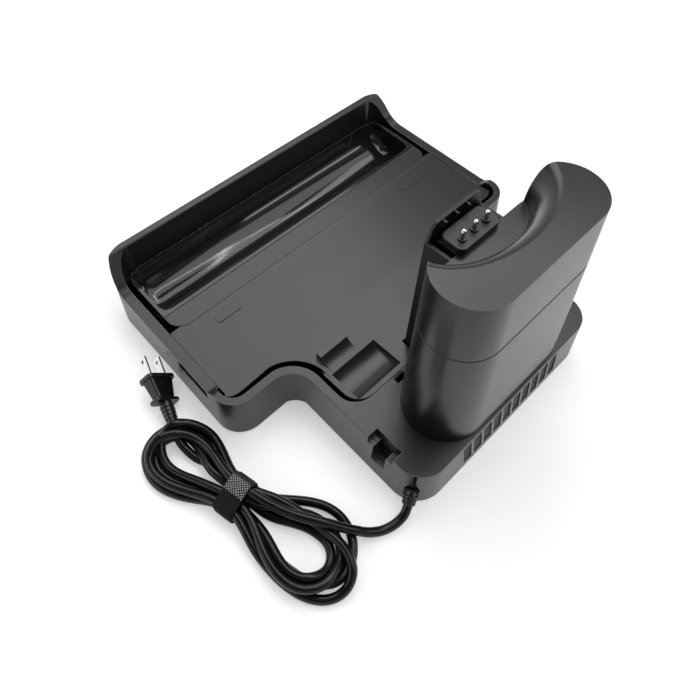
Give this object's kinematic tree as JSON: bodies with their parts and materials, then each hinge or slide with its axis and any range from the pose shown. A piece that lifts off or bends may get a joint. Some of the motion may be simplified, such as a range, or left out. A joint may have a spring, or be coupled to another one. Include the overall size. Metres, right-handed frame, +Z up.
{
  "type": "vacuum charging station",
  "caption": "Low black tray base with a removable cleaning tray, a tapered contact post with sprung contacts, and a mains cord tied in a bundle with its plug.",
  "frame": {"origin": "centre of the base's bounding box on the ground, cord left out", "axes": "+X to the cord side across the width, +Y from the tray front to the rear grille, +Z up"},
  "size_m": [0.3639, 0.2869, 0.18],
  "materials": {
    "shell_black": "fine satin texture, black",
    "tray_black": "satin black, glossier in the trough",
    "post_black": "satin black",
    "block_black": "satin black",
    "sleeve_black": "semi-gloss black",
    "contact_metal": "polished plated metal",
    "spring_steel": "drawn spring wire",
    "board_green": "lacquered circuit board",
    "wire_insulation": "smooth insulation",
    "transformer_tape": "taped winding",
    "capacitor_can": "sleeved can",
    "terminal_green": "moulded terminal",
    "screw_steel": "zinc plated",
    "foot_rubber": "soft black rubber",
    "cord_black": "semi-gloss extruded jacket",
    "tie_fabric": "woven hook-and-loop band",
    "plug_black": "moulded black",
    "blade_metal": "nickel plated"
  },
  "bodies": {
    "station": {"base_housing": "shell_black", "cleaning_tray": "tray_black", "platform_cover": "shell_black", "post_lower_shell": "post_black", "post_upper_shell": "post_black", "post_front_guide": "post_black", "contact_block": "block_black", "contact_sleeves": "sleeve_black", "contact_spring_left": "spring_steel", "contact_spring_center": "spring_steel", "contact_spring_right": "spring_steel", "contact_board": "board_green", "charge_wires": "wire_insulation", "power_board": "board_green", "transformer": "transformer_tape", "capacitors": "capacitor_can", "terminal_block": "terminal_green", "mains_leads": "wire_insulation", "base_screws": "screw_steel", "post_screws": "screw_steel", "rubber_feet": "foot_rubber", "cord_strain_relief": "cord_black", "cord_lead": "cord_black", "cord_hank": "cord_black", "cord_tie": "tie_fabric", "plug_relief": "plug_black", "plug_body": "plug_black", "plug_blades": "blade_metal"},
    "left_contact": {"contact_pin_left": "contact_metal"},
    "center_contact": {"contact_pin_center": "contact_metal"},
    "right_contact": {"contact_pin_right": "contact_metal"}
  },
  "joints": [
    {"name": "left_contact_press", "type": "slide", "parent": "station", "child": "left_contact", "axis": [0, 0, -1], "range_m": [0, 0.002], "stiffness_N_per_m": 250, "springref_m": -0.002, "deforming": ["contact_spring_left"]},
    {"name": "center_contact_press", "type": "slide", "parent": "station", "child": "center_contact", "axis": [0, 0, -1], "range_m": [0, 0.002], "stiffness_N_per_m": 250, "springref_m": -0.002, "deforming": ["contact_spring_center"]},
    {"name": "right_contact_press", "type": "slide", "parent": "station", "child": "right_contact", "axis": [0, 0, -1], "range_m": [0, 0.002], "stiffness_N_per_m": 250, "springref_m": -0.002, "deforming": ["contact_spring_right"]}
  ]
}
